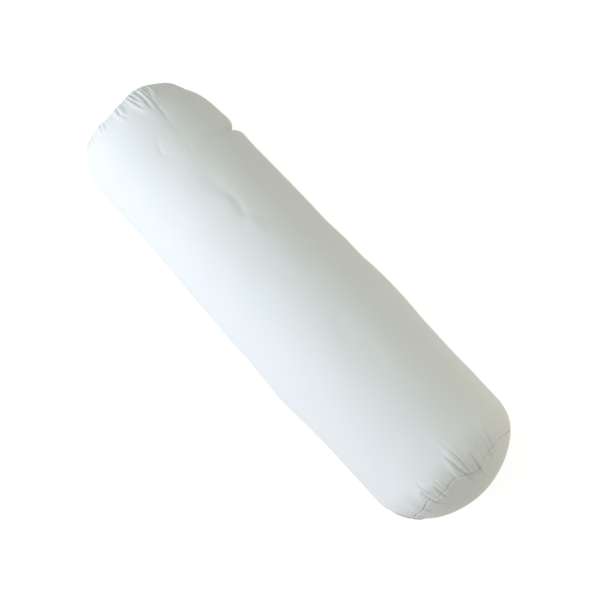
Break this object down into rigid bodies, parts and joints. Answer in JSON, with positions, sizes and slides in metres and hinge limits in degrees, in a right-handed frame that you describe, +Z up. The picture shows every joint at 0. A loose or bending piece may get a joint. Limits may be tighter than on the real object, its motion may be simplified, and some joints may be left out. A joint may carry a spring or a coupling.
{
  "type": "bolster pillow",
  "caption": "Round bolster pillow: a cotton tube with two domed end panels over fibre stuffing, with a flattened base to lie on.",
  "frame": {"origin": "middle of the bounding box's base, on the surface that the pillow lies on", "axes": "+X along the pillow towards its plumper end, +Z up, away from the flattened base"},
  "size_m": [0.69, 0.2, 0.193],
  "materials": {
    "cotton_cloth": "plain white cotton, fine close weave, matt",
    "fibre_stuffing": "loose white polyester fibre",
    "sewing_thread": "white spun sewing thread"
  },
  "bodies": {
    "root": {"body_panel": "cotton_cloth", "right_end_panel": "cotton_cloth", "left_end_panel": "cotton_cloth", "main_stuffing": "fibre_stuffing", "left_end_stuffing": "fibre_stuffing", "right_seam_thread": "sewing_thread", "left_seam_thread": "sewing_thread", "right_overlock_thread": "sewing_thread", "left_overlock_thread": "sewing_thread", "right_side_thread": "sewing_thread", "left_side_thread": "sewing_thread", "right_side_overlock": "sewing_thread", "left_side_overlock": "sewing_thread", "closing_stitches": "sewing_thread"}
  },
  "joints": []
}
